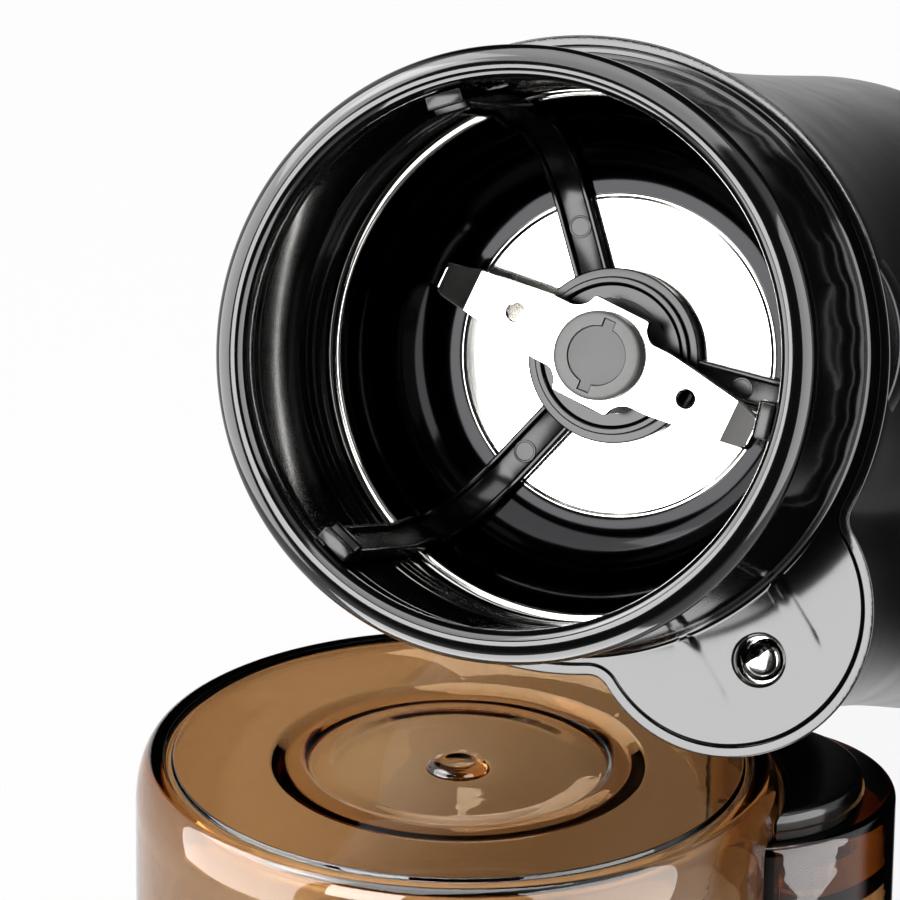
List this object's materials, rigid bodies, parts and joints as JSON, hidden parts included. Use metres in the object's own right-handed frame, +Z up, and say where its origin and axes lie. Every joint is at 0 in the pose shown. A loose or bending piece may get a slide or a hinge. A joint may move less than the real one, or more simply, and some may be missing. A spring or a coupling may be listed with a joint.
{
  "type": "electric coffee grinder",
  "caption": "Blade coffee grinder lying nose-up with its open steel grinding chamber, clear amber lid standing beside it with a side push button.",
  "frame": {"origin": "centre of the footprint, on the table that the base edge and the lid stand on", "axes": "+Z up; -Y is the way the open chamber faces; +X to the right seen from the chamber"},
  "size_m": [0.1026, 0.2046, 0.1489],
  "materials": {
    "black_gloss": "moulded ABS, high gloss",
    "black_satin": "moulded ABS, satin",
    "black_plastic": "moulded, fine grain",
    "amber_clear": "clear smoked amber plastic, polished",
    "steel_polished": "polished stainless steel",
    "steel_ground": "ground and honed",
    "steel_machined": "turned steel",
    "steel_plated": "zinc plated",
    "lamination": "stacked sheet",
    "copper_wire": "enamelled winding",
    "bronze": "sintered",
    "brass_sheet": "pressed",
    "carbon": "pressed carbon",
    "rubber_black": "moulded",
    "nylon_grey": "moulded nylon",
    "cap_grey": "moulded nylon",
    "nylon_black": "moulded nylon"
  },
  "bodies": {
    "body": {"housing": "black_satin", "collar": "black_gloss", "base_plate": "black_satin", "rubber_feet": "rubber_black", "base_screws": "steel_plated", "cord_inlet": "rubber_black", "steel_bowl": "steel_polished", "bowl_gasket": "rubber_black", "bowl_ring_nut": "nylon_black", "shaft_bush": "nylon_black", "bush_nut": "nylon_black", "shaft_seal": "rubber_black", "upper_bracket": "steel_plated", "lower_bracket": "steel_plated", "motor_mounts": "rubber_black", "bracket_screws": "steel_plated", "motor_screws": "steel_plated", "motor_spacers": "steel_plated", "upper_bearing": "bronze", "lower_bearing": "bronze", "stator": "lamination", "field_coils": "copper_wire", "brush_holders": "brass_sheet", "brushes": "carbon", "brush_springs": "steel_plated", "switch_body": "black_plastic", "switch_screws": "steel_plated"},
    "rotor": {"motor_shaft": "steel_machined", "armature_core": "lamination", "armature_winding": "copper_wire", "commutator": "copper_wire", "cooling_fan": "nylon_grey", "blade_spacer": "nylon_grey", "blade": "steel_ground", "blade_hub": "nylon_grey", "blade_cap": "cap_grey"},
    "wiper_ring": {"wiper": "black_gloss"},
    "rod": {"push_rod": "steel_machined"},
    "lever": {"switch_lever": "steel_plated"},
    "lid": {"lid_shell": "amber_clear"},
    "button": {"lid_button": "black_gloss", "button_spring": "steel_plated", "button_clip": "steel_plated"}
  },
  "joints": [
    {"name": "blade_spin", "type": "hinge", "parent": "body", "child": "rotor", "pos_m": [0.00598, -0.04632, 0.09867], "axis": [0, -0.9348, 0.3551], "continuous": true},
    {"name": "wiper_turn", "type": "hinge", "parent": "body", "child": "wiper_ring", "pos_m": [0.00598, -0.04632, 0.09867], "axis": [0, -0.9348, 0.3551], "continuous": true},
    {"name": "push_rod_slide", "type": "slide", "parent": "body", "child": "rod", "axis": [0, 0.9348, -0.3551], "range_m": [0, 0.0025], "stiffness_N_per_m": 150, "springref_m": -0.004},
    {"name": "switch_lever_tip", "type": "hinge", "parent": "body", "child": "lever", "pos_m": [0.04201, -0.03689, 0.06124], "axis": [0.6225, -0.2779, -0.7316], "range_deg": [0, 16.85]},
    {"name": "lid_slide", "type": "slide", "parent": "body", "child": "lid", "axis": [0, -1, 0], "range_m": [0, 0.15]},
    {"name": "button_press", "type": "slide", "parent": "lid", "child": "button", "axis": [0, 0, -1], "range_m": [0, 0.004], "stiffness_N_per_m": 400, "springref_m": -0.004, "deforming": ["button_spring"]}
  ],
  "couplings": [
    {"joint": "switch_lever_tip", "follows": "push_rod_slide", "rad_per_m": 117.65}
  ]
}
